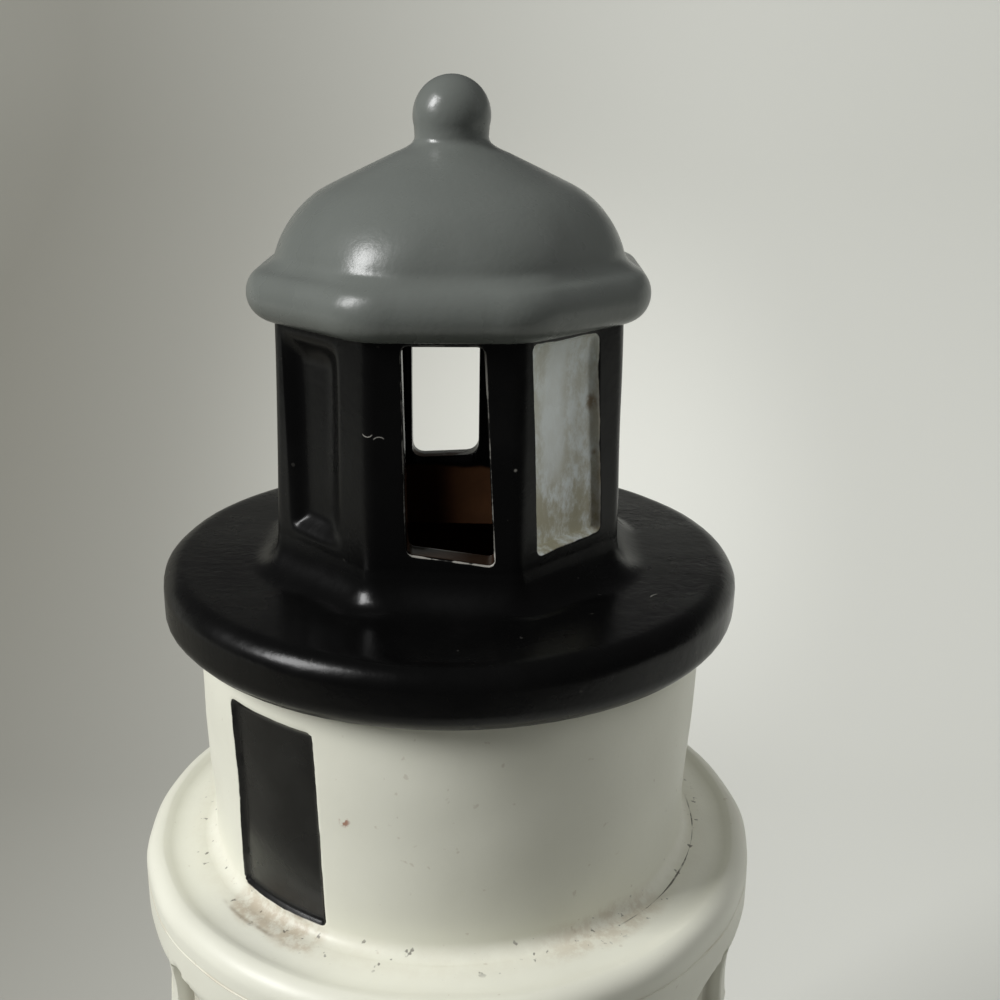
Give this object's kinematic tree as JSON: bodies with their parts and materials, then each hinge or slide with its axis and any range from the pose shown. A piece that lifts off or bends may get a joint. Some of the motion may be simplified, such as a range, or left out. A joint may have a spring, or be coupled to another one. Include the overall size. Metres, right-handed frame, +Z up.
{
  "type": "garden lighthouse ornament",
  "caption": "Hollow fired-clay lighthouse with a lift-off lantern top, open lantern windows and a battery light standing in its watch room.",
  "frame": {"origin": "middle of the flat foot", "axes": "+Z up the tower's axis; the open window seen in the picture looks along -Y"},
  "size_m": [0.184, 0.184, 0.42],
  "materials": {
    "white_coat": "satin warm-white paint over fired clay",
    "black_coat": "glossy black over fired clay",
    "grey_coat": "satin mid-grey over fired clay",
    "black_plastic": "fine-grained moulded plastic",
    "frosted_plastic": "frosted translucent",
    "bright_metal": "vacuum-metallised",
    "spring_steel": "nickel-plated",
    "cell_jacket": "plain dark jacket",
    "board_green": "solder-masked board",
    "chip_yellow": "phosphor face",
    "seal_rubber": "matt"
  },
  "bodies": {
    "tower": {"base_plinth": "white_coat", "tower_shell": "white_coat", "gallery_cornice": "white_coat", "watch_room": "white_coat"},
    "lantern_top": {"lantern_room": "black_coat", "roof_dome": "grey_coat"},
    "light_unit": {"light_housing": "black_plastic", "battery_1": "cell_jacket", "battery_2": "cell_jacket", "contact_springs": "spring_steel", "contact_plates": "spring_steel", "battery_tray": "black_plastic", "circuit_board": "board_green", "board_screws": "spring_steel", "led": "chip_yellow", "reflector": "bright_metal", "lens": "frosted_plastic", "light_deck": "black_plastic", "switch_body": "spring_steel"},
    "switch": {"switch_knob": "black_plastic"},
    "cover": {"battery_cover": "black_plastic", "cover_seal": "seal_rubber"}
  },
  "joints": [
    {"name": "lantern_lift", "type": "slide", "parent": "tower", "child": "lantern_top", "axis": [0, 0, 1], "range_m": [0, 0.09]},
    {"name": "light_lift", "type": "slide", "parent": "tower", "child": "light_unit", "axis": [0, 0, 1], "range_m": [0, 0.06]},
    {"name": "switch_slide", "type": "slide", "parent": "light_unit", "child": "switch", "axis": [1, 0, 0], "range_m": [0, 0.004]},
    {"name": "cover_turn", "type": "hinge", "parent": "light_unit", "child": "cover", "pos_m": [0, 0, 0.2496], "axis": [0, 0, 1], "range_deg": [0, 20]}
  ]
}
